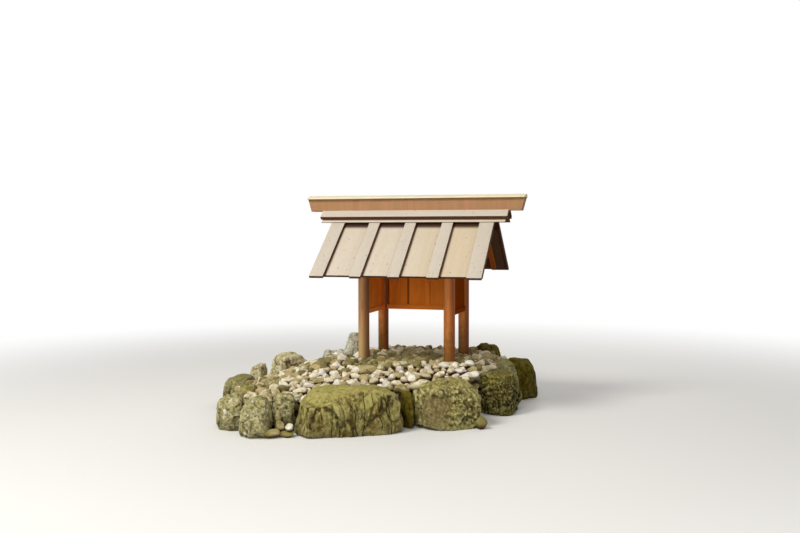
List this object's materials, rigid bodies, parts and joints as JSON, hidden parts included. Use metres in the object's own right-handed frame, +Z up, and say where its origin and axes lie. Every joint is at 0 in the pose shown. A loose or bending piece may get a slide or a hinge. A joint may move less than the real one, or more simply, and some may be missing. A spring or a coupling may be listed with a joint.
{
  "type": "roofed shrine shelter on a stone bed",
  "caption": "Small gabled shelter on round posts with board walls and a long ridge beam, standing on a cobble bed edged with boulders.",
  "frame": {"origin": "on the ground under the bed, midway between the four posts", "axes": "+X along the ridge to the right as seen from the open front, +Y to the rear wall, +Z up"},
  "size_m": [2.7411, 2.9274, 1.9142],
  "materials": {
    "post": "planed round timber, oiled by weather, mossy at the foot",
    "frame_timber": "planed timber, shaded and unweathered",
    "roof_board": "planed boards bleached by sun, fine dark specks",
    "ridge_timber": "planed beam, reddish tan",
    "cap_board": "planed board, pale cream",
    "wall_board": "planed boards, orange brown",
    "cobble_fill": "rounded pale cobbles",
    "mossy_boulder": "rough boulder, green with moss",
    "pale_boulder": "pitted pale boulder, lichened"
  },
  "bodies": {
    "root": {"post_front_left": "post", "post_front_right": "post", "post_rear_left": "post", "post_rear_right": "post", "tie_left": "frame_timber", "tie_right": "frame_timber", "plate_front": "frame_timber", "plate_rear": "frame_timber", "king_strut_left": "frame_timber", "king_strut_right": "frame_timber", "ridge_purlin": "frame_timber", "rafters_front": "frame_timber", "rafters_rear": "frame_timber", "roof_boards_front": "roof_board", "roof_boards_rear": "roof_board", "battens_front": "roof_board", "battens_rear": "roof_board", "ridge_board_low_front": "roof_board", "ridge_board_low_rear": "roof_board", "ridge_board_high_front": "roof_board", "ridge_board_high_rear": "roof_board", "ridge_beam": "ridge_timber", "ridge_cap": "cap_board", "foot_rail_left": "wall_board", "foot_rail_right": "wall_board", "foot_rail_rear": "wall_board", "wall_left": "wall_board", "wall_right": "wall_board", "wall_rear": "wall_board", "rear_strip": "wall_board", "bed_fill": "cobble_fill", "stone_front_corner": "mossy_boulder", "stone_left_corner": "mossy_boulder", "stone_front_wedge": "mossy_boulder", "stone_front_long": "mossy_boulder", "stone_front_gap": "mossy_boulder", "stone_front_broad": "mossy_boulder", "stone_right_front": "mossy_boulder", "stone_right_flat": "mossy_boulder", "stone_right_tall": "mossy_boulder", "stone_rear_right": "mossy_boulder", "stone_rear_middle": "mossy_boulder", "stone_rear_left": "mossy_boulder", "stone_rear_corner": "mossy_boulder", "stone_left_pitted": "pale_boulder", "stone_left_upper": "pale_boulder", "stone_left_long": "pale_boulder", "stone_by_post": "pale_boulder"}
  },
  "joints": []
}
